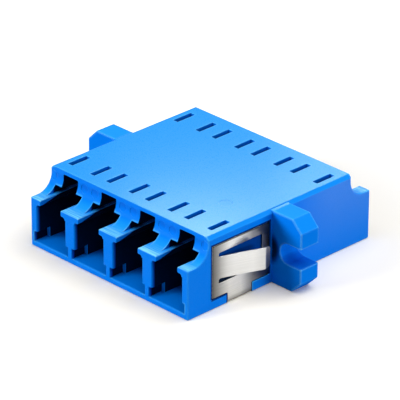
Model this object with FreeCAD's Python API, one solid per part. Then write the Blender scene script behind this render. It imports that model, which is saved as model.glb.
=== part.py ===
import FreeCAD, Part
import math
import os

os.makedirs("parts", exist_ok=True)

V = FreeCAD.Vector

# ---------------------------------------------------------------- driving sizes, mm
# X runs across the ports, Y along the fibres, Z up. The origin is the middle of the underside.
PORT_PITCH = 6.25        # centre to centre of neighbouring ports
PORT_COUNT = 4           # ports side by side, each with a front and a rear mouth
BODY_L = 28.8            # body along Y
SIDE_WALL = 1.0          # wall outside the outer plug bores
FLOOR_T = 0.67           # floor under the plug bores
BORE_W = 4.65            # plug bore width
BORE_H = 4.73            # plug bore height
BORE_TOP_R = 0.3         # round in the plug bore's upper corners
BORE_FLOOR_R = 0.12      # round in the plug bore's lower corners
LIP_T = 0.7              # lips at the mouths and the rails behind them
LIP_LAND = 1.05          # flat part of the lips in front of the hollow
LIP_GAP = 3.38           # clear width between two lips
LIP_TIP_R = 0.15         # round on the lips' tips
HEAD_H = 2.95            # from the lips' top to the body's top
TOP_BEVEL = 0.4          # bevel along the two long top edges
EDGE_R = 0.16            # round on the body's other outside edges
SCOOP_R = 2.1            # hollow round cut into each end above the mouths
LATCH_W = 4.4            # wide latch channel above the lips
LATCH_MOUTH_H = 1.07     # its height at the mouth
LATCH_INNER_H = 0.75     # its height at the catch and behind it
NOTCH_W = 2.38           # narrow channel above it, for the latch lever
NOTCH_ROOF = 0.5         # roof left over the narrow channel
NOTCH_R = 0.15
MOUTH_BREAK = 0.12       # broken edge round each plug bore's mouth
POCKET_WEB = 0.6         # wall left between the relief pockets of two neighbouring mouths
POCKET_H = 1.28
POCKET_D = 2.0
CATCH_Y = 9.7            # mid-length to the shoulder that a latch hooks behind
WINDOW_L = 2.84          # top windows over the catches, along Y
WINDOW_W = 0.76
WINDOW_R = 0.1
WEB_T = 2.8              # wall across the middle, also the ears' thickness
PIN_MARK_R = 0.55        # ejector pin marks on the hollows' upright faces
PIN_MARK_DROP = 1.1      # body's top to their centres
PIN_MARK_X = 0.85        # pair on a partition, each side of its middle
PIN_MARK_D = 0.03
GATE_MARK_R = 0.8        # shallow round mark on top
GATE_MARK_X = 7.9
GATE_MARK_Y = -3.9
GATE_MARK_D = 0.03

EAR_REACH = 4.45         # ears past the body's sides
EAR_DROP = 0.1           # ears stand this much under the body's top
EAR_BEVEL = 1.4          # bevels at the ears' outer corners
EAR_EDGE_R = 0.14
SCREW_OUT = 2.4          # screw notches' centres past the body's sides
SCREW_NOTCH_W = 2.4
SCREW_Z = 4.42

SLEEVE_ID = 1.246        # split alignment sleeve
SLEEVE_T = 0.187
SLEEVE_L = 6.8
SLEEVE_SLIT = 0.25
SLEEVE_EDGE = 0.06
SLEEVE_BORE_PLAY = 0.03  # sleeve in its bore, on the radius
SLEEVE_END_PLAY = 0.02   # at each end
FERRULE_HOLE_PLAY = 0.067  # narrow end of the tube ends' funnels past the sleeve's inside, on the radius
FERRULE_LEAD = 0.18      # wide end of those funnels past the narrow end, on the radius
TUBE_WALL = 0.61         # tubes round the sleeves
TUBE_END_T = 0.33        # end wall of a tube
TUBE_END_R = 0.2
SPIGOT_STEP = 0.25       # retainer's seat in the middle wall, past the tube on the radius
SPIGOT_L = 1.6
COLLAR_STEP = 0.45       # retainer's collar, past the seat on the radius
COLLAR_T = 0.5
RETAINER_EDGE = 0.1      # broken edges of the retainer
RETAINER_FIT = 0.01      # on the radius and behind the collar

# The clip's places along Y are measured forward from the ears' front faces.
CLIP_T = 0.2             # spring clip's sheet
CLIP_SEAT = 0.02         # clip to the floor of its recess
CLIP_EDGE_PLAY = 0.1     # clip to the walls of its recess
CLIP_SUNK = 0.04         # side plates lie this much under the body's sides
RECESS_NEAR = 0.4
RECESS_FAR = 9.35
RECESS_Z0 = 1.22
RECESS_TOP_WALL = 1.23   # recess's top to the body's top
RECESS_R = 0.15
STRAP_NEAR = 3.05        # groove for the strap, down the sides and under the floor
STRAP_FAR = 6.9
FOOT_R = 0.12            # inside of the clip's bend under the body
PLATE_R = 0.4            # lower corner of a side plate, on the ear's side
STRAP_ROOT_R = 0.2       # inner corners where the strap leaves a side plate
SLOT_NEAR = 1.5          # slots above and below the clip's tongue
SLOT_FAR = 8.25
LOWER_SLOT_Z0 = 2.88
LOWER_SLOT_R = 0.27
UPPER_SLOT_R = 0.2
UPPER_BAR = 1.18         # plate's upper bar with its play, over the upper slot
TONGUE_Z0 = 3.45
TONGUE_Z1 = 6.1
TONGUE_ROOT = 7.9        # where the tongue bends out of the plate
TONGUE_ROOT_L = 0.45     # flat run behind that bend, part of the plate
TONGUE_ROOT_R = 1.5
TONGUE_REACH = 1.9       # how far the tongue springs out past its plate
TONGUE_BEND = 2.95       # where its end bends back
TONGUE_BEND_R = 0.4
TONGUE_TIP = 2.1
TONGUE_TIP_IN = 0.1      # how far the end turns back in
TONGUE_TIP_R = 0.5

# ---------------------------------------------------------------- derived places
PORT_X = [PORT_PITCH * (i - (PORT_COUNT - 1) / 2) for i in range(PORT_COUNT)]
BODY_W = PORT_PITCH * (PORT_COUNT - 1) + BORE_W + 2 * SIDE_WALL
LIP_UNDER_Z = FLOOR_T + BORE_H
LIP_TOP_Z = LIP_UNDER_Z + LIP_T
BODY_H = LIP_TOP_Z + HEAD_H
LATCH_MOUTH_Z = LIP_TOP_Z + LATCH_MOUTH_H
LATCH_INNER_Z = LIP_TOP_Z + LATCH_INNER_H
NOTCH_TOP_Z = BODY_H - NOTCH_ROOF
AXIS_Z = FLOOR_T + BORE_H / 2
HALF_W = BODY_W / 2
HALF_L = BODY_L / 2
HALF_WEB = WEB_T / 2
SCOOP_WALL_Y = HALF_L - LIP_LAND - SCOOP_R
SCOOP_AXIS_Z = LIP_TOP_Z + SCOOP_R
POCKET_OUT = (PORT_PITCH - BORE_W - POCKET_WEB) / 2
PIN_MARK_Z = BODY_H - PIN_MARK_DROP
EAR_HALF = HALF_W + EAR_REACH
EAR_TOP_Z = BODY_H - EAR_DROP
SCREW_X = HALF_W + SCREW_OUT
SLEEVE_R = SLEEVE_ID / 2 + SLEEVE_T
SLEEVE_BORE_R = SLEEVE_R + SLEEVE_BORE_PLAY
FERRULE_HOLE_R = SLEEVE_ID / 2 + FERRULE_HOLE_PLAY
TUBE_R = SLEEVE_BORE_R + TUBE_WALL
SPIGOT_R = TUBE_R + SPIGOT_STEP
COLLAR_R = SPIGOT_R + COLLAR_STEP
POCKET_END_Y = SLEEVE_L / 2 + SLEEVE_END_PLAY
TUBE_END_Y = POCKET_END_Y + TUBE_END_T
RETAINER_SEAT_Y = HALF_WEB - SPIGOT_L
GROOVE_D = CLIP_T + CLIP_SEAT
RECESS_FLOOR_X = HALF_W - CLIP_SUNK - CLIP_T - CLIP_SEAT
RECESS_Y0 = -HALF_WEB - RECESS_FAR
RECESS_Y1 = -HALF_WEB - RECESS_NEAR
RECESS_Z1 = BODY_H - RECESS_TOP_WALL
STRAP_Y0 = -HALF_WEB - STRAP_FAR
STRAP_Y1 = -HALF_WEB - STRAP_NEAR
SLOT_Y0 = -HALF_WEB - SLOT_FAR
SLOT_Y1 = -HALF_WEB - SLOT_NEAR
UPPER_SLOT_Z1 = RECESS_Z1 - UPPER_BAR
TONGUE_ROOT_Y = -HALF_WEB - TONGUE_ROOT
TONGUE_BEND_Y = -HALF_WEB - TONGUE_BEND
TONGUE_TIP_Y = -HALF_WEB - TONGUE_TIP
PLATE_IN_X = RECESS_FLOOR_X + CLIP_SEAT
PLATE_OUT_X = PLATE_IN_X + CLIP_T
STRAP_TOP_Z = GROOVE_D - CLIP_SEAT
STRAP_LOW_Z = STRAP_TOP_Z - CLIP_T
FOOT_TOP_Z = STRAP_TOP_Z + FOOT_R + CLIP_SEAT
OVER = 1.0               # how far cutting tools run past the part
LAP = 0.2                # how far joined lumps of one piece run into each other

NORMAL = {"yz": V(1, 0, 0), "xz": V(0, 1, 0), "xy": V(0, 0, 1)}


# ---------------------------------------------------------------- helpers
def at(plane, level, a, b):
    """Point a, b of a plane at the given level."""
    if plane == "yz":
        return V(level, a, b)
    if plane == "xz":
        return V(a, level, b)
    return V(a, b, level)


def rounded_wire(points, plane, level):
    """Closed wire through (a, b, radius) corners."""
    corners = []
    count = len(points)
    for i in range(count):
        ax, ay = points[i - 1][0], points[i - 1][1]
        px, py, r = points[i]
        bx, by = points[(i + 1) % count][0], points[(i + 1) % count][1]
        if r == 0:
            corners.append(((px, py), None, (px, py)))
            continue
        la = math.hypot(ax - px, ay - py)
        lb = math.hypot(bx - px, by - py)
        ux, uy = (ax - px) / la, (ay - py) / la
        wx, wy = (bx - px) / lb, (by - py) / lb
        half = math.acos(ux * wx + uy * wy) / 2
        back = r / math.tan(half)
        mx, my = ux + wx, uy + wy
        lm = math.hypot(mx, my)
        reach = r / math.sin(half) - r
        middle = (px + mx / lm * reach, py + my / lm * reach)
        corners.append(((px + ux * back, py + uy * back), middle, (px + wx * back, py + wy * back)))
    edges = []
    for i in range(count):
        start, middle, end = corners[i]
        following = corners[(i + 1) % count][0]
        if middle is not None:
            arc = Part.Arc(at(plane, level, *start), at(plane, level, *middle), at(plane, level, *end))
            edges.append(arc.toShape())
        if math.hypot(end[0] - following[0], end[1] - following[1]) > 1e-6:
            edges.append(Part.makeLine(at(plane, level, *end), at(plane, level, *following)))
    return Part.Wire(edges)


def prism(points, plane, level, length):
    """Solid of the rounded outline, run along the plane's normal."""
    return Part.Face(rounded_wire(points, plane, level)).extrude(NORMAL[plane] * length)


def rectangle(a0, a1, b0, b1, r=0):
    """Outline of a rectangle with equal corner rounds."""
    return [(a0, b0, r), (a1, b0, r), (a1, b1, r), (a0, b1, r)]


def box(x0, x1, y0, y1, z0, z1):
    """Box between two corners."""
    return Part.makeBox(x1 - x0, y1 - y0, z1 - z0, V(x0, y0, z0))


def rod(x, z, y0, y1, radius):
    """Cylinder along Y."""
    return Part.makeCylinder(radius, y1 - y0, V(x, y0, z), V(0, 1, 0))


def turned(profile, x, z):
    """Solid of revolution about the port axis from (y, radius) points."""
    loop = [V(x, y, z + radius) for y, radius in profile]
    face = Part.Face(Part.makePolygon(loop + [loop[0]]))
    return face.revolve(V(x, 0, z), V(0, 1, 0), 360)


def mirrored_y(shape):
    """The same shape at the other end."""
    return shape.mirror(V(0, 0, 0), V(0, 1, 0))


def mirrored_x(shape):
    """The same shape on the other side."""
    return shape.mirror(V(0, 0, 0), V(1, 0, 0))


def save(shape, name):
    """Write one node, checked to be a single valid solid."""
    if len(shape.Solids) != 1:
        raise ValueError("%s has %d solids" % (name, len(shape.Solids)))
    solid = shape.Solids[0]
    if not solid.isValid():
        raise ValueError("%s is not valid" % name)
    solid.exportStep("parts/%s.step" % name)


# ---------------------------------------------------------------- housing
def body_block():
    """Outer body: a bar with a hollow round cut off each upper end, edges broken."""
    front = Part.makeLine(V(-HALF_W, -HALF_L, 0), V(-HALF_W, -HALF_L, LIP_TOP_Z))
    lands = []
    arcs = []
    walls = []
    for side in (-1, 1):
        tip = V(-HALF_W, side * HALF_L, LIP_TOP_Z)
        start = V(-HALF_W, side * (HALF_L - LIP_LAND), LIP_TOP_Z)
        low = SCOOP_R * math.sin(math.pi / 4)
        middle = V(-HALF_W, side * (HALF_L - LIP_LAND - low), SCOOP_AXIS_Z - low)
        end = V(-HALF_W, side * SCOOP_WALL_Y, SCOOP_AXIS_Z)
        lands.append(Part.makeLine(tip, start))
        arcs.append(Part.Arc(start, middle, end).toShape())
        walls.append(Part.makeLine(end, V(-HALF_W, side * SCOOP_WALL_Y, BODY_H)))
    rear = Part.makeLine(V(-HALF_W, HALF_L, 0), V(-HALF_W, HALF_L, LIP_TOP_Z))
    top = Part.makeLine(V(-HALF_W, -SCOOP_WALL_Y, BODY_H), V(-HALF_W, SCOOP_WALL_Y, BODY_H))
    under = Part.makeLine(V(-HALF_W, -HALF_L, 0), V(-HALF_W, HALF_L, 0))
    outline = [front, lands[0], arcs[0], walls[0], top, walls[1], arcs[1], lands[1], rear, under]
    block = Part.Face(Part.Wire(Part.__sortEdges__(outline))).extrude(V(BODY_W, 0, 0))
    block = block.makeChamfer(TOP_BEVEL, long_edges(block, BODY_H))
    block = block.makeFillet(EDGE_R, long_edges(block, 0))
    return block.makeFillet(EDGE_R, end_edges(block))


def long_edges(shape, z):
    """Straight edges along Y on the body's sides at height z."""
    found = []
    for edge in shape.Edges:
        b = edge.BoundBox
        on_side = abs(abs(b.Center.x) - HALF_W) < 1e-3 and b.XLength < 1e-3
        if on_side and b.YLength > 5 and abs(b.Center.z - z) < 1e-3 and b.ZLength < 1e-3:
            found.append(edge)
    return found


def end_edges(shape):
    """Upright corner edges and the edges along X at the ends' feet and lips."""
    found = []
    for edge in shape.Edges:
        b = edge.BoundBox
        at_end = abs(abs(b.Center.y) - HALF_L) < 1e-3 and b.YLength < 1e-3
        upright = at_end and b.XLength < 1e-3 and b.ZLength > 2
        across = at_end and b.ZLength < 1e-3 and b.XLength > 5
        hollow = abs(abs(b.Center.x) - HALF_W) < 1e-3 and b.XLength < 1e-3
        hollow = hollow and b.Center.z > LIP_TOP_Z - 1e-3 and abs(b.Center.y) > SCOOP_WALL_Y - 0.02
        if upright or across or hollow:
            found.append(edge)
    return found


def ear_plate():
    """The two mounting ears as one plate across the body's middle, with open screw notches."""
    b = EAR_BEVEL
    right = [
        (EAR_HALF - b, 0, 0), (EAR_HALF, b, 0),
        (EAR_HALF, EAR_TOP_Z - b, 0), (EAR_HALF - b, EAR_TOP_Z, 0),
    ]
    left = [(-x, z, r) for x, z, r in reversed(right)]
    plate = prism(right + left, "xz", -HALF_WEB, WEB_T)
    for side in (-1, 1):
        x = side * SCREW_X
        plate = plate.cut(rod(x, SCREW_Z, -HALF_WEB - OVER, HALF_WEB + OVER, SCREW_NOTCH_W / 2))
        x0, x1 = sorted((x, side * (EAR_HALF + OVER)))
        z0, z1 = SCREW_Z - SCREW_NOTCH_W / 2, SCREW_Z + SCREW_NOTCH_W / 2
        plate = plate.cut(box(x0, x1, -HALF_WEB - OVER, HALF_WEB + OVER, z0, z1))
    plate = plate.removeSplitter()
    return plate.makeFillet(EAR_EDGE_R, plate.Edges)


def port_core(x):
    """Everything that a straight core pin leaves open in one front port."""
    half = BORE_W / 2
    gap = LIP_GAP / 2
    wide = LATCH_W / 2
    lever = NOTCH_W / 2
    right = [
        (half, FLOOR_T, BORE_FLOOR_R), (half, LIP_UNDER_Z, BORE_TOP_R),
        (gap, LIP_UNDER_Z, LIP_TIP_R), (gap, LIP_TOP_Z, LIP_TIP_R),
        (wide, LIP_TOP_Z, 0), (wide, LATCH_INNER_Z, 0),
        (lever, LATCH_INNER_Z, 0), (lever, NOTCH_TOP_Z, NOTCH_R),
    ]
    left = [(-a, b, r) for a, b, r in reversed(right)]
    outline = [(x + a, b, r) for a, b, r in right + left]
    start = -HALF_L - OVER
    return prism(outline, "xz", start, -HALF_WEB - start)


def latch_ramps(x):
    """Sloped ceiling in front of the two catches, which presses a latch down as it goes in."""
    slope = (LATCH_MOUTH_Z - LATCH_INNER_Z) / (HALF_L - LIP_LAND - CATCH_Y)
    high_z = LATCH_INNER_Z + slope * (HALF_L - CATCH_Y)
    outline = [
        (-HALF_L, LIP_TOP_Z + LAP, 0), (-CATCH_Y, LIP_TOP_Z + LAP, 0),
        (-CATCH_Y, LATCH_INNER_Z, 0), (-HALF_L, high_z, 0),
    ]
    return prism(outline, "yz", x - LATCH_W / 2, LATCH_W)


def windows(x):
    """Two windows from the top, which leave the catches' shoulders at their front ends."""
    cut = []
    for side in (-1, 1):
        edge = x + side * LATCH_W / 2
        x0, x1 = sorted((edge, edge - side * WINDOW_W))
        outline = rectangle(x0, x1, -CATCH_Y, -CATCH_Y + WINDOW_L, WINDOW_R)
        start_z = LATCH_INNER_Z - LAP
        cut.append(prism(outline, "xy", start_z, BODY_H + OVER - start_z))
    return cut


def mouth_cuts(x):
    """Broken edge round the plug bore's mouth and the two relief pockets by its floor."""
    half = BORE_W / 2
    face_y = -HALF_L
    low = [
        V(x - half - MOUTH_BREAK, face_y, FLOOR_T - MOUTH_BREAK),
        V(x + half + MOUTH_BREAK, face_y, FLOOR_T - MOUTH_BREAK),
        V(x + half + MOUTH_BREAK, face_y, LIP_UNDER_Z - BORE_TOP_R),
        V(x - half - MOUTH_BREAK, face_y, LIP_UNDER_Z - BORE_TOP_R),
    ]
    deep = [
        V(x - half, face_y + MOUTH_BREAK, FLOOR_T),
        V(x + half, face_y + MOUTH_BREAK, FLOOR_T),
        V(x + half, face_y + MOUTH_BREAK, LIP_UNDER_Z - BORE_TOP_R),
        V(x - half, face_y + MOUTH_BREAK, LIP_UNDER_Z - BORE_TOP_R),
    ]
    rings = [Part.makePolygon(ring + [ring[0]]) for ring in (low, deep)]
    flare = Part.makeLoft(rings, True, True)
    out = half + POCKET_OUT
    pocket = box(x - out, x + out, face_y - OVER, face_y + POCKET_D, FLOOR_T, FLOOR_T + POCKET_H)
    return [flare, pocket]


def pin_marks():
    """Ejector pin marks on the front hollow's upright faces."""
    edge = HALF_W - (HALF_W - PORT_X[-1] - LATCH_W / 2) / 2
    spots = [-edge, edge]
    for i in range(1, PORT_COUNT):
        middle = (PORT_X[i - 1] + PORT_X[i]) / 2
        spots += [middle - PIN_MARK_X, middle + PIN_MARK_X]
    d = PIN_MARK_D
    skin = [
        (-HALF_L, LIP_TOP_Z - d, 0), (-SCOOP_WALL_Y + d, LIP_TOP_Z - d, SCOOP_R + d),
        (-SCOOP_WALL_Y + d, BODY_H, 0), (-HALF_L, BODY_H, 0),
    ]
    hollow = prism(skin, "yz", -HALF_W, BODY_W)
    return [rod(x, PIN_MARK_Z, -HALF_L, 0, PIN_MARK_R).common(hollow) for x in spots]


def clip_recess():
    """Recess in the right side for the clip's plate, and half of the strap's groove."""
    plate = rectangle(RECESS_Y0, RECESS_Y1, RECESS_Z0, RECESS_Z1, RECESS_R)
    pocket = prism(plate, "yz", RECESS_FLOOR_X, HALF_W + OVER - RECESS_FLOOR_X)
    bend = [
        (RECESS_FLOOR_X, RECESS_Z0 + LAP, 0), (RECESS_FLOOR_X, GROOVE_D, FOOT_R),
        (0, GROOVE_D, 0), (0, -OVER, 0), (HALF_W + OVER, -OVER, 0),
        (HALF_W + OVER, RECESS_Z0 + LAP, 0),
    ]
    groove = prism(bend, "xz", STRAP_Y0, STRAP_Y1 - STRAP_Y0)
    return pocket.fuse(groove)


def middle_wall_bores(x):
    """Bore for one sleeve, its funnel in front and the retainer's seat behind."""
    pocket = rod(x, AXIS_Z, -POCKET_END_Y, HALF_WEB + OVER, SLEEVE_BORE_R)
    hole = turned(ferrule_hole_profile(), x, AXIS_Z)
    seat = rod(x, AXIS_Z, RETAINER_SEAT_Y, HALF_WEB + OVER, SPIGOT_R)
    return [pocket, hole, seat]


def ferrule_hole_profile():
    """(y, radius) outline of the funnel in a front tube's end."""
    r = FERRULE_HOLE_R
    return [
        (-TUBE_END_Y - OVER, 0), (-TUBE_END_Y - OVER, r + FERRULE_LEAD),
        (-TUBE_END_Y, r + FERRULE_LEAD), (-POCKET_END_Y, r),
        (-POCKET_END_Y + LAP, r), (-POCKET_END_Y + LAP, 0),
    ]


def front_tube(x):
    """Tube moulded on the middle wall round one sleeve's front half."""
    profile = [
        (-TUBE_END_Y, 0), (-TUBE_END_Y, TUBE_R - TUBE_END_R), (-TUBE_END_Y + TUBE_END_R, TUBE_R),
        (-HALF_WEB + LAP, TUBE_R), (-HALF_WEB + LAP, 0),
    ]
    return turned(profile, x, AXIS_Z)


def housing():
    """One-piece moulded body with its ears, ports, tubes and clip recesses."""
    solid = body_block().fuse(ear_plate())
    cuts = []
    for x in PORT_X:
        tools = [port_core(x), latch_ramps(x)] + windows(x) + mouth_cuts(x)
        for tool in tools:
            cuts += [tool, mirrored_y(tool)]
    for tool in pin_marks():
        cuts += [tool, mirrored_y(tool)]
    recess = clip_recess()
    cuts += [recess, mirrored_x(recess)]
    mark = Part.makeCylinder(GATE_MARK_R, OVER, V(GATE_MARK_X, GATE_MARK_Y, BODY_H - GATE_MARK_D))
    cuts.append(mark)
    solid = solid.cut(cuts)
    solid = solid.fuse([front_tube(x) for x in PORT_X])
    bores = []
    for x in PORT_X:
        bores += middle_wall_bores(x)
    return solid.cut(bores).removeSplitter()


# ---------------------------------------------------------------- sleeves and retainers
def sleeve(x):
    """Split alignment sleeve, slit on top."""
    outer = SLEEVE_R
    inner = SLEEVE_ID / 2
    half = SLEEVE_L / 2
    e = SLEEVE_EDGE
    profile = [
        (-half, inner + e), (-half, outer - e), (-half + e, outer), (half - e, outer),
        (half, outer - e), (half, inner + e), (half - e, inner), (-half + e, inner),
    ]
    tube = turned(profile, x, AXIS_Z)
    s = SLEEVE_SLIT / 2
    return tube.cut(box(x - s, x + s, -half - OVER, half + OVER, AXIS_Z, AXIS_Z + SLEEVE_R + OVER))


def retainer(x):
    """Round plug pressed into the middle wall, over the sleeve's rear half."""
    e = RETAINER_EDGE
    spigot = SPIGOT_R - RETAINER_FIT
    nose_y = RETAINER_SEAT_Y + RETAINER_FIT
    face_y = HALF_WEB + RETAINER_FIT
    back_y = face_y + COLLAR_T
    profile = [
        (nose_y, SLEEVE_BORE_R), (nose_y, spigot - e), (nose_y + e, spigot),
        (face_y, spigot), (face_y, COLLAR_R), (back_y - e, COLLAR_R),
        (back_y, COLLAR_R - e), (back_y, TUBE_R),
        (TUBE_END_Y - TUBE_END_R, TUBE_R), (TUBE_END_Y, TUBE_R - TUBE_END_R),
        (TUBE_END_Y, FERRULE_HOLE_R + FERRULE_LEAD), (POCKET_END_Y, FERRULE_HOLE_R),
        (POCKET_END_Y, SLEEVE_BORE_R),
    ]
    return turned(profile, x, AXIS_Z)


# ---------------------------------------------------------------- spring clip
def clip_plate():
    """Right side plate of the clip with its foot, the slots and the opening left by the tongue."""
    p = CLIP_EDGE_PLAY
    y0, y1 = RECESS_Y0 + p, RECESS_Y1 - p
    z0, z1 = RECESS_Z0 + p, RECESS_Z1 - p
    outline = [
        (y0, z0, RECESS_R), (STRAP_Y0 + p, z0, STRAP_ROOT_R), (STRAP_Y0 + p, FOOT_TOP_Z, 0),
        (STRAP_Y1 - p, FOOT_TOP_Z, 0), (STRAP_Y1 - p, z0, STRAP_ROOT_R), (y1, z0, PLATE_R),
        (y1, z1, RECESS_R), (y0, z1, RECESS_R),
    ]
    plate = prism(outline, "yz", PLATE_IN_X, CLIP_T)
    return plate.cut([clip_slots(), tongue_opening()])


def clip_slots():
    """Slots above and below the tongue, round at their front ends."""
    upper = rectangle(SLOT_Y0, SLOT_Y1, TONGUE_Z1, UPPER_SLOT_Z1, UPPER_SLOT_R)
    lower = rectangle(SLOT_Y0, SLOT_Y1, LOWER_SLOT_Z0, TONGUE_Z0, LOWER_SLOT_R)
    slots = [prism(outline, "yz", PLATE_IN_X - OVER, CLIP_T + 2 * OVER) for outline in (upper, lower)]
    return slots[0].fuse(slots[1])


def tongue_opening():
    """Opening in the plate that the bent-out tongue leaves."""
    outline = rectangle(TONGUE_ROOT_Y, SLOT_Y1, LOWER_SLOT_Z0, UPPER_SLOT_Z1, UPPER_SLOT_R)
    return prism(outline, "yz", PLATE_IN_X - OVER, CLIP_T + 2 * OVER)


def tongue():
    """Tongue that springs out to hold a panel against the ear."""
    x0, x1 = PLATE_IN_X, PLATE_OUT_X
    root_y = TONGUE_ROOT_Y - TONGUE_ROOT_L
    bend_x = x0 + TONGUE_REACH
    tip_x = bend_x - TONGUE_TIP_IN
    t = CLIP_T
    outline = [
        (x0, root_y, 0), (x0, TONGUE_ROOT_Y, TONGUE_ROOT_R), (bend_x, TONGUE_BEND_Y, TONGUE_BEND_R),
        (tip_x, TONGUE_TIP_Y, 0), (tip_x + t, TONGUE_TIP_Y, 0),
        (bend_x + t, TONGUE_BEND_Y, TONGUE_BEND_R + t), (x1, TONGUE_ROOT_Y, TONGUE_ROOT_R + t),
        (x1, root_y, 0),
    ]
    solid = prism(outline, "xy", TONGUE_Z0, TONGUE_Z1 - TONGUE_Z0)
    tips = []
    for edge in solid.Edges:
        b = edge.BoundBox
        if abs(b.Center.y - TONGUE_TIP_Y) < 1e-3 and b.YLength < 1e-3 and b.ZLength < 1e-3:
            tips.append(edge)
    return solid.makeFillet(TONGUE_TIP_R, tips)


def clip_half_strap():
    """Right half of the strap with its bend up to the plate's foot."""
    p = CLIP_EDGE_PLAY
    top_z = FOOT_TOP_Z + LAP
    outline = [
        (0, STRAP_LOW_Z, 0), (PLATE_OUT_X, STRAP_LOW_Z, FOOT_R + CLIP_T), (PLATE_OUT_X, top_z, 0),
        (PLATE_IN_X, top_z, 0), (PLATE_IN_X, STRAP_TOP_Z, FOOT_R), (0, STRAP_TOP_Z, 0),
    ]
    return prism(outline, "xz", STRAP_Y0 + p, STRAP_Y1 - STRAP_Y0 - 2 * p)


def retaining_clip():
    """Spring clip: one strip of sheet bent round the body's underside and both sides."""
    half = clip_plate().fuse([tongue(), clip_half_strap()])
    return half.fuse(mirrored_x(half)).removeSplitter()


save(housing(), "housing")
save(retaining_clip(), "retaining_clip")
for number, port_x in enumerate(PORT_X, start=1):
    save(sleeve(port_x), "sleeve_%d" % number)
    save(retainer(port_x), "sleeve_retainer_%d" % number)
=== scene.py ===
"""Looks of a four-port LC fibre adapter: finishes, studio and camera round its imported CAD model."""

import logging
import math
from dataclasses import dataclass, field
from enum import Enum
from typing import Union

import bmesh
import bpy
from mathutils import Matrix, Vector


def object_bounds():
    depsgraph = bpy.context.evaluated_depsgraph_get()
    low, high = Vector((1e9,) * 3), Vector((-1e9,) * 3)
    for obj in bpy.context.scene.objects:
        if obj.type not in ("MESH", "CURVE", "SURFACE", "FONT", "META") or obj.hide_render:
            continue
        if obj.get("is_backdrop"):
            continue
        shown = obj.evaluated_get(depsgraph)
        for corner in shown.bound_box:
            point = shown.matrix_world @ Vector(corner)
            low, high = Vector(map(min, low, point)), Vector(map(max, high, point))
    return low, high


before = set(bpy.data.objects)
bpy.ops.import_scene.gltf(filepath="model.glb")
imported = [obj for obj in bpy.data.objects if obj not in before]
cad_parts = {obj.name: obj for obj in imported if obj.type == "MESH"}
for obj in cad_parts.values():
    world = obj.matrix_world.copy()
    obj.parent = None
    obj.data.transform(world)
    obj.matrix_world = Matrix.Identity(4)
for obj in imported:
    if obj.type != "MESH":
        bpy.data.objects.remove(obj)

LOG = logging.getLogger("adapter")
MM = 0.001
SHEEN_TINT = (0.85, 0.92, 0.8)
SOFT_MM = 0.1
NOISE_ROUGHNESS = 0.55
SHADER_SAMPLES = 6

Colour = tuple[float, float, float, float]
Number = Union[float, "Field"]
Shade = Union[Colour, bpy.types.NodeSocket]
Span = tuple[float, float]

PORTS = 4
HOUSING_BLUES: tuple[Colour, Colour] = ((0.0, 0.225, 0.95, 1.0), (0.0, 0.210, 0.92, 1.0))
RETAINER_BLUES: tuple[Colour, Colour] = ((0.0, 0.19, 0.85, 1.0), (0.0, 0.16, 0.78, 1.0))
RETAINER_ROUGHNESS = 0.42


def towards(azimuth: float, elevation: float) -> Vector:
    """Direction from the object to a lamp or the camera.

    Args:
        azimuth: Degrees round from the front, towards the right.
        elevation: Degrees above the floor.

    Returns:
        A vector of length 1.
    """
    turn, rise = math.radians(azimuth), math.radians(elevation)
    return Vector((math.sin(turn) * math.cos(rise), -math.cos(turn) * math.cos(rise), math.sin(rise)))


class Axis(Enum):
    """A direction of the shared frame, as the index of its coordinate."""

    ACROSS = 0
    ALONG = 1
    UP = 2


class Field:
    """A number that varies over a surface. Sums and products of fields add Math nodes."""

    def __init__(self, graph: "Graph", socket: bpy.types.NodeSocket) -> None:
        """Wrap an output socket.

        Args:
            graph: The graph that the socket belongs to.
            socket: The output that carries the number.
        """
        self.graph = graph
        self.socket = socket

    def _math(self, operation: str, first: Number, second: Number) -> "Field":
        """Join two numbers with one Math node.

        Args:
            operation: The node's operation.
            first: Its upper input.
            second: Its lower input.

        Returns:
            The node's result.
        """
        made = self.graph.node("ShaderNodeMath", {"operation": operation}, {0: first, 1: second})
        return Field(self.graph, made.outputs[0])

    def __add__(self, other: Number) -> "Field":
        """Sum."""
        return self._math("ADD", self, other)

    def __radd__(self, other: Number) -> "Field":
        """Sum with the number first."""
        return self._math("ADD", other, self)

    def __sub__(self, other: Number) -> "Field":
        """Difference."""
        return self._math("SUBTRACT", self, other)

    def __rsub__(self, other: Number) -> "Field":
        """Difference with the number first."""
        return self._math("SUBTRACT", other, self)

    def __mul__(self, other: Number) -> "Field":
        """Product."""
        return self._math("MULTIPLY", self, other)

    def __rmul__(self, other: Number) -> "Field":
        """Product with the number first."""
        return self._math("MULTIPLY", other, self)

    def __truediv__(self, other: Number) -> "Field":
        """Quotient."""
        return self._math("DIVIDE", self, other)


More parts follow.
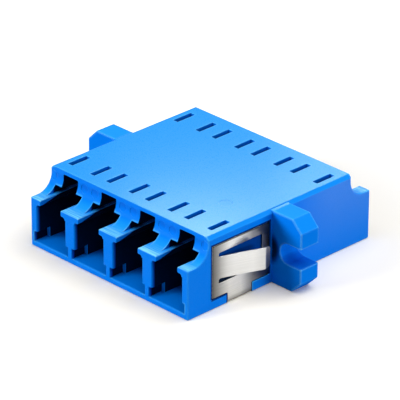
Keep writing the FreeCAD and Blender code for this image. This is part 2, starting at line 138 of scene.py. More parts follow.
class Graph:
    """The node tree of one material or of the world."""

    def __init__(self, owner: bpy.types.Material | bpy.types.World) -> None:
        """Start with no nodes.

        Args:
            owner: The new material or world.
        """
        self.owner = owner
        owner.use_nodes = True
        self.tree = owner.node_tree
        self.tree.nodes.clear()

    @classmethod
    def of_material(cls, name: str) -> "Graph":
        """Graph of a new material."""
        return cls(bpy.data.materials.new(name))

    def node(
        self, kind: str, settings: dict[str, object] | None = None, inputs: dict | None = None
    ) -> bpy.types.Node:
        """Add any node.

        Args:
            kind: The node's type.
            settings: Attributes to set first. "stops" fills a colour ramp with (position, colour).
            inputs: Socket name or index to a value, a Field or another node's output.

        Returns:
            The node.
        """
        made = self.tree.nodes.new(kind)
        for name, value in (settings or {}).items():
            if name == "stops":
                self._fill_ramp(made.color_ramp, value)
            else:
                setattr(made, name, value)
        for name, value in (inputs or {}).items():
            if isinstance(value, Field):
                value = value.socket
            if isinstance(value, bpy.types.NodeSocket):
                self.tree.links.new(value, made.inputs[name])
            else:
                made.inputs[name].default_value = value
        return made

    @staticmethod
    def _fill_ramp(ramp: bpy.types.ColorRamp, stops: list[tuple[float, Colour]]) -> None:
        """Give a colour ramp its stops.

        Args:
            ramp: The ramp, with Blender's two first stops.
            stops: Position and colour of each stop, in order.
        """
        while len(ramp.elements) < len(stops):
            ramp.elements.new(0.5)
        for element, (position, colour) in zip(ramp.elements, stops):
            element.position = position
            element.color = colour

    def place(self) -> bpy.types.NodeSocket:
        """The point on the surface, in the shared frame, in metres."""
        return self.node("ShaderNodeTexCoord").outputs["Object"]

    def coordinate(self, axis: Axis) -> Field:
        """One coordinate of the point on the surface, in millimetres.

        Args:
            axis: Which coordinate.

        Returns:
            The coordinate.
        """
        return self.part_of(self.place(), axis) * (1 / MM)

    def facing(self, axis: Axis) -> Field:
        """How far the face looks along a direction of the frame, -1 to 1."""
        normal = self.node("ShaderNodeNewGeometry").outputs["Normal"]
        return self.part_of(normal, axis)

    def part_of(self, vector: bpy.types.NodeSocket, axis: Axis) -> Field:
        """One part of a vector."""
        split = self.node("ShaderNodeSeparateXYZ", {}, {0: vector})
        return Field(self, split.outputs[axis.value])

    def size_of(self, value: Field) -> Field:
        """A number without its sign."""
        made = self.node("ShaderNodeMath", {"operation": "ABSOLUTE"}, {0: value})
        return Field(self, made.outputs[0])

    def ramp(
        self, value: Field, start: float, end: float, stops: list[tuple[float, Colour]]
    ) -> bpy.types.NodeSocket:
        """Colour along a range of a value.

        Args:
            value: The value.
            start: Where the range starts.
            end: Where it ends.
            stops: Value and colour of each stop, in order.

        Returns:
            The colour.
        """
        placed = [((at - start) / (end - start), colour) for at, colour in stops]
        along = (value - start) * (1 / (end - start))
        return self.node("ShaderNodeValToRGB", {"stops": placed}, {0: along}).outputs[0]

    def noise(self, per_mm: tuple[float, float, float], detail: float = 3.0) -> Field:
        """Smooth noise about 0.5.

        Args:
            per_mm: Blobs per millimetre along X, Y and Z.
            detail: Octaves of finer noise.

        Returns:
            The noise.
        """
        scale = tuple(n / MM for n in per_mm)
        stretched = self.node("ShaderNodeMapping", {}, {"Vector": self.place(), "Scale": scale})
        wanted = {"Vector": stretched.outputs[0], "Scale": 1.0}
        wanted.update({"Detail": detail, "Roughness": NOISE_ROUGHNESS})
        return Field(self, self.node("ShaderNodeTexNoise", {}, wanted).outputs[0])

    def blend(self, factor: Number, low: Shade, high: Shade) -> bpy.types.NodeSocket:
        """Colour between two colours.

        Args:
            factor: 0 for the first colour, 1 for the second.
            low: The first colour, or the socket that gives it.
            high: The second colour, or the socket that gives it.

        Returns:
            The mixed colour.
        """
        settings = {"data_type": "RGBA", "clamp_factor": True}
        made = self.node("ShaderNodeMix", settings, {0: factor, 6: low, 7: high})
        return made.outputs[2]

    def step(self, value: Field, start: float, end: float) -> Field:
        """Smooth step of a value.

        Args:
            value: The value.
            start: Where the step is 0.
            end: Where it is 1.

        Returns:
            0 to 1.
        """
        settings = {"interpolation_type": "SMOOTHSTEP", "clamp": True}
        made = self.node("ShaderNodeMapRange", settings, {0: value, 1: start, 2: end})
        return Field(self, made.outputs[0])

    def relief(
        self, height: Field, depth_mm: float, under: bpy.types.NodeSocket | None = None
    ) -> bpy.types.NodeSocket:
        """Normal of a surface with this much relief.

        Args:
            height: The relief, 0 to 1.
            depth_mm: Its full height.
            under: Normal that the relief lies on.

        Returns:
            The normal.
        """
        inputs = {"Height": height, "Distance": depth_mm * MM, "Strength": 1.0}
        if under is not None:
            inputs["Normal"] = under
        return self.node("ShaderNodeBump", {}, inputs).outputs[0]

    def broken_edges(self, radius_mm: float) -> bpy.types.NodeSocket:
        """Normal that is rounded over near sharp edges."""
        settings = {"samples": SHADER_SAMPLES}
        return self.node("ShaderNodeBevel", settings, {"Radius": radius_mm * MM}).outputs[0]

    def edge_mask(self, rounded: bpy.types.NodeSocket, full: float) -> Field:
        """Where the rounded normal leaves the face's own.

        Args:
            rounded: The rounded normal.
            full: How far the two differ, as 1 less their cosine, where the mask is full.

        Returns:
            0 on open faces, up to 1 on edges.
        """
        own = self.node("ShaderNodeNewGeometry").outputs["Normal"]
        cosine = self.node("ShaderNodeVectorMath", {"operation": "DOT_PRODUCT"}, {0: own, 1: rounded})
        return self.step(1 - Field(self, cosine.outputs["Value"]), 0.0, full)

    def openness(self, reach_mm: float, inside: bool = False) -> Field:
        """How open a place is, 0 deep in a recess to 1 on an open face.

        Args:
            reach_mm: How far off a wall still counts.
            inside: Look into the piece, so that its own outer edges count as closed.

        Returns:
            The openness.
        """
        settings = {"samples": SHADER_SAMPLES, "only_local": True, "inside": inside}
        made = self.node("ShaderNodeAmbientOcclusion", settings, {"Distance": reach_mm * MM})
        return Field(self, made.outputs["AO"])

    def surface(self, inputs: dict) -> bpy.types.Material:
        """Finish the material with one Principled shader.

        Args:
            inputs: Its sockets' values and links.

        Returns:
            The material.
        """
        shader = self.node("ShaderNodeBsdfPrincipled", {}, inputs)
        self.node("ShaderNodeOutputMaterial", {}, {"Surface": shader.outputs[0]})
        return self.owner

    def seen(self) -> Field:
        """Tell what is looked at from what only passes light on.

        Returns:
            1 for the camera, a reflection or a clear material, 0 where light only bounces.
        """
        path = self.node("ShaderNodeLightPath")
        direct = Field(self, path.outputs["Is Camera Ray"])
        return self.largest(direct, path.outputs["Is Glossy Ray"], path.outputs["Is Transmission Ray"])

    def largest(self, first: Field, *others: bpy.types.NodeSocket) -> Field:
        """Largest of some numbers.

        Args:
            first: One number.
            others: The outputs that give the rest.

        Returns:
            The largest.
        """
        for other in others:
            made = self.node("ShaderNodeMath", {"operation": "MAXIMUM"}, {0: first, 1: other})
            first = Field(self, made.outputs[0])
        return first

    def smallest(self, first: Field, *others: bpy.types.NodeSocket) -> Field:
        """Smallest of some numbers.

        Args:
            first: One number.
            others: The outputs that give the rest.

        Returns:
            The smallest.
        """
        for other in others:
            made = self.node("ShaderNodeMath", {"operation": "MINIMUM"}, {0: first, 1: other})
            first = Field(self, made.outputs[0])
        return first


@dataclass(frozen=True)
class SocketShade:
    """Where little light reaches: inside the ports and in the clip's recesses."""

    half_length_mm: float = 14.4
    inner_half_width_mm: float = 12.0
    body_half_width_mm: float = 12.7
    floor_mm: float = 0.5
    roof_mm: float = 8.8
    lip_foot_mm: float = 5.35
    lip_top_mm: float = 6.05
    scoop_mm: float = 2.15
    wall_reach_mm: float = 0.55
    floor_reach_mm: float = 4.5
    floor_start_mm: float = 1.3
    end_face_mm: float = 3.5
    pocket_top_mm: float = 2.5
    pocket_depth_mm: float = 0.45
    tongue_shade_mm: float = 1.3
    tongue_level_mm: float = 4.3
    tongue_shade: float = 0.9
    notch_axis_mm: float = 4.4
    notch_shade: float = 0.4
    window_low_mm: float = 8.25
    window_share: float = 0.8
    clip_open_share: float = 0.7
    clip_near_mm: float = 1.8
    clip_far_mm: float = 10.75
    clip_low_mm: float = 1.22
    clip_high_mm: float = 7.82
    tab_end_mm: float = 8.3
    slot_mm: float = 3.4
    rim_mm: float = 0.15
    rim_shade: float = 0.75
    start_mm: float = 0.05
    upward: Span = (0.3, 0.9)
    outward: Span = (0.5, 0.9)
    end_soft_mm: float = 0.5
    pocket_end_mm: Span = (0.3, 0.6)
    tongue_flatness: float = 0.4
    tongue_fade: Span = (0.1, 1.2)
    skin_mm: float = 0.02
    ear_front_mm: Span = (-1.6, -1.5)
    ear_depth_mm: Span = (-1.3, 1.4)
    notch_out_mm: Span = (0.2, 0.4)
    notch_soft_mm: float = 0.5
    notch_upward: Span = (0.3, 0.8)
    rim_soft_mm: float = 0.05
    rim_side_mm: Span = (-0.2, -0.15)
    rim_proud_mm: Span = (0.02, 0.05)
    recess_depth_mm: Span = (0.02, 0.12)
    recess_back_mm: float = 0.5
    gap_mm: Span = (0.1, 0.2)
    slot_soft_mm: float = 0.4

    def ports(self, graph: Graph) -> Field:
        """Shade in the ports, which deepens with the distance from the mouth.

        Args:
            graph: The graph to add it to.

        Returns:
            0 in full light to 1 in full shade.
        """
        across = graph.size_of(graph.coordinate(Axis.ACROSS))
        depth = self.half_length_mm - graph.size_of(graph.coordinate(Axis.ALONG))
        up = graph.coordinate(Axis.UP)
        above_pocket = graph.step(up, self.pocket_top_mm, self.pocket_top_mm + SOFT_MM)
        pocket = self.pocket_depth_mm * (1 - above_pocket)
        within = graph.step(pocket + self.inner_half_width_mm - across, 0.0, SOFT_MM)
        within = within * graph.step(up, self.floor_mm, self.floor_mm + SOFT_MM)
        within = within * graph.step(self.roof_mm - up, 0.0, 2 * SOFT_MM)
        lit_floor = graph.step(graph.facing(Axis.UP), *self.upward)
        behind_scoop = self.scoop_mm * graph.step(up, self.lip_foot_mm, self.lip_top_mm)
        start = self.start_mm + self.floor_start_mm * lit_floor + behind_scoop
        reach = self.wall_reach_mm + (self.floor_reach_mm - self.wall_reach_mm) * lit_floor
        sunk = graph.step((depth - start) / reach, 0.0, 1.0)
        return within * sunk

    def end_face(self, graph: Graph) -> Field:
        """Faces near a mouth that look out of it and catch the light.

        Args:
            graph: The graph to add it to.

        Returns:
            1 on such a face, 0 elsewhere.
        """
        depth = self.half_length_mm - graph.size_of(graph.coordinate(Axis.ALONG))
        looks_out = graph.step(graph.size_of(graph.facing(Axis.ALONG)), *self.outward)
        return looks_out * graph.step(self.end_face_mm - depth, 0.0, self.end_soft_mm)

    def pocket_end(self, graph: Graph) -> Field:
        """End faces of the pockets beside the ports' floors.

        Args:
            graph: The graph to add it to.

        Returns:
            1 on such a face, 0 elsewhere.
        """
        depth = self.half_length_mm - graph.size_of(graph.coordinate(Axis.ALONG))
        low = 1 - graph.step(graph.coordinate(Axis.UP), self.pocket_top_mm, self.pocket_top_mm + SOFT_MM)
        return self.end_face(graph) * graph.step(depth, *self.pocket_end_mm) * low

    def behind_tongue(self, graph: Graph) -> Field:
        """Shade on the front of the ears where the clip's tongues hide them from the light.

        Args:
            graph: The graph to add it to.

        Returns:
            0 in full light to 1 in full shade.
        """
        across = graph.size_of(graph.coordinate(Axis.ACROSS)) - self.body_half_width_mm
        across = across / self.tongue_shade_mm
        up = (graph.coordinate(Axis.UP) - self.tongue_level_mm) / self.tongue_shade_mm
        near = 1 - graph.step(across * across + up * up * self.tongue_flatness, *self.tongue_fade)
        along = graph.coordinate(Axis.ALONG)
        front = graph.step(along, *self.ear_front_mm) * (1 - graph.step(along, *self.ear_depth_mm))
        return near * graph.step(across, -self.skin_mm, self.skin_mm) * front * self.tongue_shade

    def screw_notch(self, graph: Graph) -> Field:
        """Shade on the floors of the ears' screw notches.

        Args:
            graph: The graph to add it to.

        Returns:
            0 in full light to the floor's share of shade.
        """
        proud = graph.size_of(graph.coordinate(Axis.ACROSS)) - self.body_half_width_mm
        out = graph.step(proud, *self.notch_out_mm)
        above_axis = graph.coordinate(Axis.UP) - self.notch_axis_mm
        high = graph.step(above_axis, 0.0, self.notch_soft_mm)
        return out * (1 - high) * graph.step(graph.facing(Axis.UP), *self.notch_upward) * self.notch_shade

    def window_light(self, graph: Graph) -> Field:
        """Light that falls on the walls of the windows in the roof.

        Args:
            graph: The graph to add it to.

        Returns:
            How much of the shade it takes away.
        """
        return graph.step(graph.coordinate(Axis.UP), self.window_low_mm, self.roof_mm) * self.window_share

    def clip_inset(self, graph: Graph) -> Field:
        """How far a point lies inside the outline of the clip's recess.

        Args:
            graph: The graph to add it to.

        Returns:
            Millimetres, negative outside the outline.
        """
        along = graph.coordinate(Axis.ALONG)
        past_near = 0 - along - self.clip_near_mm
        past_far = along + self.clip_far_mm
        under_top = self.clip_high_mm - graph.coordinate(Axis.UP)
        return graph.smallest(past_near, past_far.socket, under_top.socket)

    def clip_rim(self, graph: Graph) -> Field:
        """Rim of the clip's recess, where the plastic turns down into the gap round the clip and gets a
        painted shadow line.

        Args:
            graph: The graph to add it to.

        Returns:
            1 on the rim, 0 elsewhere.
        """
        outside = graph.size_of(graph.coordinate(Axis.ACROSS)) - self.body_half_width_mm
        along = graph.coordinate(Axis.ALONG) + self.tab_end_mm
        up = graph.coordinate(Axis.UP) - self.clip_low_mm
        inset = self.clip_inset(graph)
        start = -self.rim_mm - self.rim_soft_mm
        outline = graph.step(inset, start, -self.rim_mm) * graph.step(up, 0.0, SOFT_MM)
        off_edges = 1 - graph.step(along, start, -self.rim_mm)
        off_edges = off_edges * (1 - graph.step(up, start, -self.rim_mm))
        tab = 1 - graph.step(along, 0.0, self.rim_soft_mm)
        tab = tab * (1 - graph.step(up, 0.0, self.rim_soft_mm)) * (1 - off_edges)
        tab = tab * graph.step(inset, -SOFT_MM, 0.0)
        on_side = graph.step(outside, *self.rim_side_mm) * (1 - graph.step(outside, *self.rim_proud_mm))
        return on_side * (1 - (1 - outline) * (1 - tab))

    def clip_recess(self, graph: Graph) -> Field:
        """Shade in the gap round the clip and behind its openings.

        Args:
            graph: The graph to add it to.

        Returns:
            0 in full light to 1 in full shade.
        """
        sunk = self.body_half_width_mm - graph.size_of(graph.coordinate(Axis.ACROSS))
        inset = self.clip_inset(graph)
        shade = graph.step(sunk, *self.recess_depth_mm)
        shade = shade * graph.step(self.recess_back_mm - sunk, 0.0, SOFT_MM)
        shade = shade * graph.step(inset, -self.rim_soft_mm, 0.0)
        upper = graph.step(graph.coordinate(Axis.UP), self.slot_mm, self.slot_mm + self.slot_soft_mm)
        return shade * (1 - (1 - self.clip_open_share) * graph.step(inset, *self.gap_mm) * upper)


@dataclass(frozen=True)
class LandHighlight:
    """Lands in front of the scoops, with a painted highlight in fine lines across them."""

    half_length_mm: float = 14.4
    low_mm: float = 5.9
    high_mm: float = 7.6
    reach_mm: float = 2.1
    share: float = 0.95
    lines_per_mm: tuple[float, float, float] = (0.3, 6.0, 6.0)
    line_range: Span = (0.25, 0.7)
    low_soft_mm: float = 0.15
    high_soft_mm: float = 1.0
    upward: Span = (0.2, 0.8)

    def mask(self, graph: Graph) -> Field:
        """Painted highlight, in fine lines that run across the lands.

        Args:
            graph: The graph to add it to.

        Returns:
            0 off the highlight to its full share.
        """
        up = graph.coordinate(Axis.UP)
        depth = self.half_length_mm - graph.size_of(graph.coordinate(Axis.ALONG))
        lines = graph.noise(self.lines_per_mm, detail=2.0)
        level = graph.step(up, self.low_mm, self.low_mm + self.low_soft_mm)
        level = level * graph.step(self.high_mm - up, 0.0, self.high_soft_mm)
        near = 1 - graph.step(depth, 0.0, self.reach_mm)
        looks_up = graph.step(graph.facing(Axis.UP), *self.upward)
        return level * near * looks_up * graph.step(lines, *self.line_range) * self.share


@dataclass(frozen=True)
class MouldedPlastic:
    """Dyed plastic as it comes from a polished mould."""

    name: str
    colour: Colour
    deep_colour: Colour
    dusk_colour: Colour = (0.0, 0.10, 0.60, 1.0)
    recess_shade_colour: Colour = (0.0, 0.008, 0.035, 1.0)
    edge_highlight_colour: Colour = (0.07, 0.50, 1.0, 1.0)
    top_sheen_colour: Colour = (0.01, 0.335, 1.0, 1.0)
    top_low_mm: float = 5.5
    pocket_end_light_colour: Colour = (0.0, 0.34, 1.0, 1.0)
    lip_highlight_colour: Colour = (0.2, 0.66, 1.0, 1.0)
    lip_edge_low_mm: float = 5.4
    lip_edge_high_mm: float = 6.2
    recess_reach_mm: float = 4.0
    recess_full: float = 0.0
    recess_none: float = 0.45
    edge_highlight_share: float = 0.9
    edge_reach_mm: float = 0.25
    roughness: float = 0.28
    sheen_spread: float = 0.04
    specular: float = 0.05
    specular_tint: Colour = (0.3, 0.85, 1.0, 1.0)
    coat_roughness: float = 0.3
    ear_mm: float = 12.75
    ear_roughness: float = 0.6
    side_gloss: float = 0.8
    gloss_start_mm: float = 0.0
    gloss_full_mm: float = 9.0
    edge_mm: float = 0.14
    grain_mm: float = 0.0006
    land_highlight_colour: Colour = (0.25, 0.78, 1.0, 1.0)
    flow_per_mm: tuple[float, float, float] = (0.16, 0.07, 0.3)
    grain_per_mm: tuple[float, float, float] = (9.0, 9.0, 9.0)
    waves_per_mm: tuple[float, float, float] = (0.5, 0.5, 0.5)
    grain_relief: float = 0.35
    wave_relief: float = 0.65
    edge_highlight_open: Span = (0.5, 0.95)
    upright: Span = (0.1, 0.5)
    lip_soft_mm: float = 0.3
    top_soft_mm: float = 0.4
    upward: Span = (0.5, 0.95)
    dusk_range: Span = (0.0, 0.6)
    recess_range: Span = (0.4, 1.0)
    side_range: Span = (0.8, 0.98)
    gloss_rise_mm: Span = (-2.0, 9.0)
    shade: SocketShade = SocketShade()
    land_highlight: LandHighlight = LandHighlight()

    def material(self) -> bpy.types.Material:
        """Build the material.

        Returns:
            A blue with faint flow marks and fine grain, painted highlights on its edges and lands, a
            painted sheen on its top, painted light on the pockets' end faces, and painted shade in its
            ports and recesses.
        """
        graph = Graph.of_material(self.name)
        flow = graph.noise(self.flow_per_mm, detail=2.0)
        grain = graph.noise(self.grain_per_mm, detail=2.0)
        waves = graph.noise(self.waves_per_mm, detail=1.0)
        rounded = graph.broken_edges(self.edge_mm)
        up = graph.coordinate(Axis.UP)
        ports = self.shade.ports(graph)
        # Painted highlight on convex edges, kept off the ports, the inner upright edges and the clip's
        # rim; lips and ears get a paler one.
        outer = graph.openness(self.edge_reach_mm, inside=True)
        edge_highlight = (1 - graph.step(outer, *self.edge_highlight_open)) * self.edge_highlight_share
        off_middle = graph.size_of(graph.coordinate(Axis.ACROSS))
        inner = graph.step(self.shade.inner_half_width_mm - off_middle, 0.0, SOFT_MM)
        upright = 1 - graph.step(graph.part_of(rounded, Axis.UP), *self.upright)
        rim = self.shade.clip_rim(graph)
        edge_highlight = edge_highlight * (1 - ports) * (1 - inner * upright) * (1 - rim)
        lips = inner * graph.step(up, self.lip_edge_low_mm, self.lip_edge_low_mm + self.lip_soft_mm)
        lips = lips * (1 - graph.step(up, self.lip_edge_high_mm, self.lip_edge_high_mm + self.lip_soft_mm))
        ear = graph.step(off_middle, self.ear_mm, self.ear_mm + SOFT_MM)
        lips = 1 - (1 - lips) * (1 - ear)
        # Painted shade: dark in hollows and deep in the ports, in the clip's recess, on its rim, behind
        # the tongues and in the notches; end faces near the mouths and the windows' walls are left
        # lighter.
        hollow = 1 - graph.step(graph.openness(self.recess_reach_mm), self.recess_full, self.recess_none)
        lit = (1 - hollow) * (1 - ports)
        lit = lit + (1 - lit) * self.shade.end_face(graph)
        painted_shade = 1 - lit * (1 - self.shade.clip_recess(graph))
        painted_shade = painted_shade * (1 - self.shade.window_light(graph))
        painted_shade = 1 - (1 - painted_shade) * (1 - rim * self.shade.rim_shade)
        painted_shade = 1 - (1 - painted_shade) * (1 - self.shade.behind_tongue(graph))
        painted_shade = 1 - (1 - painted_shade) * (1 - self.shade.screw_notch(graph))
        # Painted sheen: faces that look up, above the ports, are paler.
        upward = graph.step(graph.facing(Axis.UP), *self.upward)
        upward = upward * graph.step(up, self.top_low_mm, self.top_low_mm + self.top_soft_mm)
        # Painted highlight in fine lines on the lands.
        land_highlight_mask = self.land_highlight.mask(graph)
        colour = graph.blend(flow, self.deep_colour, self.colour)
        colour = graph.blend(upward, colour, self.top_sheen_colour)
        colour = graph.blend(land_highlight_mask, colour, self.land_highlight_colour)
        colour = graph.blend(edge_highlight, colour, graph.blend(lips, self.edge_highlight_colour, self.lip_highlight_colour))
        # Painted light on the pockets' end faces.
        colour = graph.blend(self.shade.pocket_end(graph), colour, self.pocket_end_light_colour)
        # Painted shade, in two depths.
        colour = graph.blend(graph.step(painted_shade, *self.dusk_range), colour, self.dusk_colour)
        colour = graph.blend(graph.step(painted_shade, *self.recess_range), colour, self.recess_shade_colour)
        roughness = self.roughness - self.sheen_spread + self.ear_roughness * ear
        roughness = roughness + 2 * self.sheen_spread * grain
        sides = graph.step(graph.size_of(graph.facing(Axis.ACROSS)), *self.side_range)
        gloss = sides * graph.step(graph.coordinate(Axis.ALONG), self.gloss_start_mm, self.gloss_full_mm)
        gloss = gloss * graph.step(up, *self.gloss_rise_mm) * self.side_gloss
        height = self.grain_relief * grain + self.wave_relief * waves
        return graph.surface({
            "Base Color": colour,
            "Roughness": roughness,
            "Specular IOR Level": self.specular,
            "Specular Tint": self.specular_tint,
            "Coat Weight": gloss,
            "Coat Roughness": self.coat_roughness,
            "Normal": graph.relief(height, self.grain_mm, rounded),
        })


@dataclass(frozen=True)
class RolledSteel:
    """Bright spring-steel sheet with fine rolling lines and a soft change of tone along it, which is a
    painted reflection.
    """

    name: str
    reflection_tone_mm: tuple[Span, ...] = (
        (-10.65, 0.03), (-10.4, 0.14), (-9.6, 0.30), (-8.0, 0.74),
        (-6.2, 0.80), (-4.4, 0.30), (-2.0, 0.12),
    )
    tongue_lean: float = 0.35
    plate_mm: float = 12.6
    tongue_share: float = 0.6
    tongue_reflection_colour: Colour = (0.64, 0.638, 0.63, 1.0)
    tip_mm: float = -4.3
    tip_share: float = 0.68
    top_mm: float = 7.55
    foot_mm: float = 1.0
    lines_per_mm: tuple[float, float, float] = (0.2, 0.2, 14.0)
    line_range: Span = (0.35, 0.68)
    green_share: float = 0.995
    blue_share: float = 0.975
    tongue_proud_mm: Span = (0.15, 0.5)
    tip_soft_mm: float = 0.2
    rim_share: float = 0.9
    foot_share: float = 0.65
    streak_share: float = 0.5
    edge_full: float = 0.15
    roughness_spread: float = 0.08
    roughness: float = 0.3
    line_mm: float = 0.0004
    line_share: float = 0.2
    edge_mm: float = 0.05
    edge_highlight_colour: Colour = (0.95, 0.95, 0.94, 1.0)
    dark_colour: Colour = (0.03, 0.03, 0.03, 1.0)
    edge_highlight_share: float = 0.5

    def material(self) -> bpy.types.Material:
        """Build the material.

        Returns:
            Steel with lines along the sheet in its colour, roughness and relief, a painted reflection
            along it, painted shade at the tongue's tip, the top rim and the foot, and painted edge
            highlights.
        """
        graph = Graph.of_material(self.name)
        lines = graph.noise(self.lines_per_mm, detail=3.0)
        proud = graph.size_of(graph.coordinate(Axis.ACROSS)) - self.plate_mm
        on_tongue = graph.step(proud, *self.tongue_proud_mm)
        along = graph.coordinate(Axis.ALONG) - self.tongue_lean * proud * on_tongue
        tint = (1.0, self.green_share, self.blue_share)
        # The tone along the sheet is a painted reflection; the tongue gets a paler painted reflection.
        stops = [(at, (*(tone * part for part in tint), 1.0)) for at, tone in self.reflection_tone_mm]
        tone = graph.ramp(along, stops[0][0], stops[-1][0], stops)
        tone = graph.blend(self.tongue_share * on_tongue, tone, self.tongue_reflection_colour)
        # Painted shade on the tongue's tip past its bend.
        tip = graph.step(graph.coordinate(Axis.ALONG), self.tip_mm, self.tip_mm + self.tip_soft_mm)
        tip = tip * on_tongue
        tone = graph.blend(self.tip_share * tip, tone, self.dark_colour)
        # Painted shadow along the top rim, under the recess's edge.
        rim = graph.step(graph.coordinate(Axis.UP), self.top_mm, self.top_mm + SOFT_MM)
        tone = graph.blend(self.rim_share * rim, tone, self.dark_colour)
        # Painted shade on the foot, where the sheet bends in under the body.
        bend = 1 - graph.step(graph.coordinate(Axis.UP), 0.0, self.foot_mm)
        tone = graph.blend(self.foot_share * bend, tone, self.dark_colour)
        streak = graph.step(lines, *self.line_range) * self.line_share
        tone = graph.blend(streak * self.streak_share, tone, self.dark_colour)
        # Painted highlight on the edges.
        rounded = graph.broken_edges(self.edge_mm)
        steel_edge_highlight = graph.edge_mask(rounded, self.edge_full) * self.edge_highlight_share
        tone = graph.blend(steel_edge_highlight, tone, self.edge_highlight_colour)
        return graph.surface({
            "Base Color": tone,
            "Metallic": 1.0,
            "Roughness": self.roughness - self.roughness_spread + 2 * self.roughness_spread * lines,
            "Normal": graph.relief(lines, self.line_mm, rounded),
        })


@dataclass(frozen=True)
class PolishedZirconia:
    """Ground and polished ceramic."""

    name: str
    colour: Colour = (0.90, 0.89, 0.85, 1.0)
    cloud_colour: Colour = (0.84, 0.82, 0.77, 1.0)
    roughness: float = 0.16
    clouds_per_mm: tuple[float, float, float] = (0.8, 0.8, 0.8)
    rings_per_mm: tuple[float, float, float] = (0.1, 20.0, 0.1)
    ring_roughness: float = 0.08
    ring_mm: float = 0.0002
    edge_mm: float = 0.03

    def material(self) -> bpy.types.Material:
        """Build the material.

        Returns:
            Ivory white with faint clouds and lathe-fine rings.
        """
        graph = Graph.of_material(self.name)
        clouds = graph.noise(self.clouds_per_mm, detail=2.0)
        rings = graph.noise(self.rings_per_mm, detail=2.0)
        return graph.surface({
            "Base Color": graph.blend(clouds, self.cloud_colour, self.colour),
            "Roughness": self.roughness + self.ring_roughness * rings,
            "Normal": graph.relief(rings, self.ring_mm, graph.broken_edges(self.edge_mm)),
        })


@dataclass
class Assembly:
    """CAD nodes that share one finish."""

    node_names: list[str]
    finish: MouldedPlastic | RolledSteel | PolishedZirconia

    def dress(self) -> None:
        """Give each node the finish in place of its plain material."""
        material = self.finish.material()
        for name in self.node_names:
            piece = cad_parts[name]
            piece.data.materials.clear()
            piece.data.materials.append(material)
            LOG.info("dressed %s in %s", name, material.name)


@dataclass
class Softbox:
    """A rectangular lamp aimed at the object."""

    name: str
    azimuth: float
    elevation: float
    distance_mm: float
    width_mm: float
    height_mm: float
    level: float
    colour: tuple[float, float, float] = (1.0, 1.0, 1.0)
    aim_mm: tuple[float, float, float] = (0.0, 0.0, 4.0)
    sheen_only: bool = False

    def build(self) -> None:
        """Place the lamp. Its level is the brightness of a white surface that faces it."""
        back = towards(self.azimuth, self.elevation)
        lamp = bpy.data.lights.new(self.name, "AREA")
        lamp.shape = "RECTANGLE"
        lamp.size = self.width_mm * MM
        lamp.size_y = self.height_mm * MM
        lamp.color = self.colour
        lamp.energy = self.level * math.pi**2 * (self.distance_mm * MM) ** 2
        holder = bpy.data.objects.new(self.name, lamp)
        holder.location = Vector(self.aim_mm) * MM + back * self.distance_mm * MM
        holder.rotation_euler = back.to_track_quat("Z", "Y").to_euler()
        holder.visible_diffuse = not self.sheen_only
        holder.visible_camera = False
        bpy.context.scene.collection.objects.link(holder)
        LOG.info("lamp %s", self.name)


@dataclass
class Camera:
    """A long lens that looks down at the right front corner."""

    aim_mm: tuple[float, float, float] = (5.42, -5.44, 9.05)
    azimuth: float = 45.441
    elevation: float = 26.525
    roll: float = 0.266
    distance_mm: float = 389.0
    focal_mm: float = 316.5
    sensor_mm: float = 36.0
    near_clip_m: float = 0.01

    def build(self) -> None:
        """Create the camera and make it the scene's."""
        back = towards(self.azimuth, self.elevation)
        lens = bpy.data.cameras.new("camera")
        lens.lens = self.focal_mm
        lens.sensor_width = self.sensor_mm
        lens.clip_start = self.near_clip_m
        holder = bpy.data.objects.new("camera", lens)
        holder.location = (Vector(self.aim_mm) + back * self.distance_mm) * MM
        roll = Matrix.Rotation(math.radians(self.roll), 3, "Z").to_quaternion()
        turned = back.to_track_quat("Z", "Y") @ roll
        holder.rotation_euler = turned.to_euler()
        bpy.context.scene.collection.objects.link(holder)
        bpy.context.scene.camera = holder
        LOG.info("camera at %s", tuple(round(v, 4) for v in holder.location))


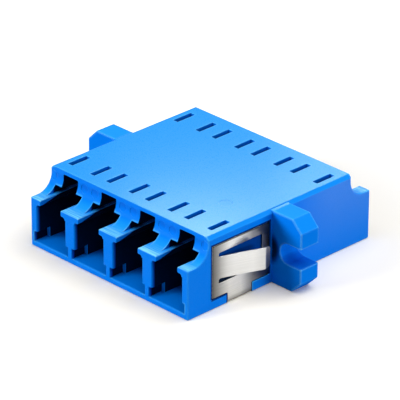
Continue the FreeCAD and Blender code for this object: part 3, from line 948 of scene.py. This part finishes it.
@dataclass
class Studio:
    """Floor, world and lamps."""

    floor_side_mm: float = 6000.0
    floor_drop_mm: float = 0.01
    floor_colour: Colour = (1.0, 1.0, 1.0, 1.0)
    near_floor_colour: Colour = (1.0, 0.975, 0.91, 1.0)
    tint_near_mm: float = 16.0
    tint_far_mm: float = 34.0
    near_glow: Colour = (0.08, 0.068, 0.048, 1.0)
    far_glow: Colour = (0.2, 0.2, 0.2, 1.0)
    bounce_colour: Colour = (0.4, 0.4, 0.4, 1.0)
    world_level: float = 0.02
    seen_level: float = 1.0
    lamps: list[Softbox] = field(default_factory=lambda: [
        Softbox("top_box", 100, 78, 1200, 1500, 1500, 0.92),
        Softbox("back_box", 160, 55, 1200, 900, 700, 0.26),
        Softbox("front_box", -24, 16, 1200, 500, 160, 0.76),
        Softbox("side_box", 108, 7, 1200, 500, 160, 0.40),
        Softbox(
            "near_sheen_card", 225.4, 33, 80, 18, 18, 0.76, SHEEN_TINT, (12.7, -14.4, 9.05),
            sheen_only=True,
        ),
        Softbox(
            "far_sheen_card", 222, 33, 90, 22, 22, 0.42, SHEEN_TINT, (12.7, 12.0, 9.05),
            sheen_only=True,
        ),
    ])

    def floor(self) -> None:
        """Build the floor as one large square at the object's foot."""
        mesh = bmesh.new()
        bmesh.ops.create_grid(mesh, x_segments=1, y_segments=1, size=self.floor_side_mm * MM / 2)
        data = bpy.data.meshes.new("floor")
        mesh.to_mesh(data)
        mesh.free()
        low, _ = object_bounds()
        data.transform(Matrix.Translation((0, 0, low[2] - self.floor_drop_mm * MM)))
        piece = bpy.data.objects.new("floor", data)
        bpy.context.scene.collection.objects.link(piece)
        data.materials.append(self.floor_material())
        piece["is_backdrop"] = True

    def floor_material(self) -> bpy.types.Material:
        """White floor that keeps the object's shadow and sends less light back up. Near the object its
        colour is painted warmer, against the blue light that the object throws on it, and a painted glow
        lightens its shadows, a little near the object and more further off.

        Returns:
            The material.
        """
        graph = Graph.of_material("studio_floor")
        off = graph.node("ShaderNodeVectorMath", {"operation": "LENGTH"}, {0: graph.place()})
        far = graph.step(Field(graph, off.outputs["Value"]), self.tint_near_mm * MM, self.tint_far_mm * MM)
        # Painted warmth near the object and a painted glow that lightens the shadows.
        colour = graph.blend(far, self.near_floor_colour, self.floor_colour)
        lit = graph.node("ShaderNodeBsdfDiffuse", {}, {"Color": colour})
        glow_colour = graph.blend(far, self.near_glow, self.far_glow)
        glow = graph.node("ShaderNodeEmission", {}, {"Color": glow_colour})
        shown = graph.node("ShaderNodeAddShader", {}, {0: lit.outputs[0], 1: glow.outputs[0]})
        bounced = graph.node("ShaderNodeBsdfDiffuse", {}, {"Color": self.bounce_colour})
        inputs = {0: graph.seen(), 1: bounced.outputs[0], 2: shown.outputs[0]}
        both = graph.node("ShaderNodeMixShader", {}, inputs)
        graph.node("ShaderNodeOutputMaterial", {}, {"Surface": both.outputs[0]})
        return graph.owner

    def world(self) -> None:
        """Dim fill light, and white where the camera or a reflection looks past the floor."""
        world = bpy.data.worlds.new("studio")
        bpy.context.scene.world = world
        graph = Graph(world)
        level = self.world_level + (self.seen_level - self.world_level) * graph.seen()
        sky = graph.node("ShaderNodeBackground", {}, {"Strength": level})
        graph.node("ShaderNodeOutputWorld", {}, {"Surface": sky.outputs[0]})

    def build(self) -> None:
        """Build everything round the object."""
        self.floor()
        self.world()
        for lamp in self.lamps:
            lamp.build()
        bpy.context.scene.view_settings.view_transform = "Standard"


def main() -> None:
    """Dress the adapter and set the studio round it."""
    logging.basicConfig(level=logging.INFO, format="%(name)s: %(message)s")
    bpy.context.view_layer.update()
    ports = range(1, PORTS + 1)
    retainer_finish = MouldedPlastic("retainer_blue", *RETAINER_BLUES, roughness=RETAINER_ROUGHNESS)
    Assembly(["housing"], MouldedPlastic("housing_blue", *HOUSING_BLUES)).dress()
    Assembly(["retaining_clip"], RolledSteel("clip_steel")).dress()
    Assembly([f"sleeve_{n}" for n in ports], PolishedZirconia("sleeve_zirconia")).dress()
    Assembly([f"sleeve_retainer_{n}" for n in ports], retainer_finish).dress()
    Studio().build()
    Camera().build()


if __name__ == "__main__":
    main()
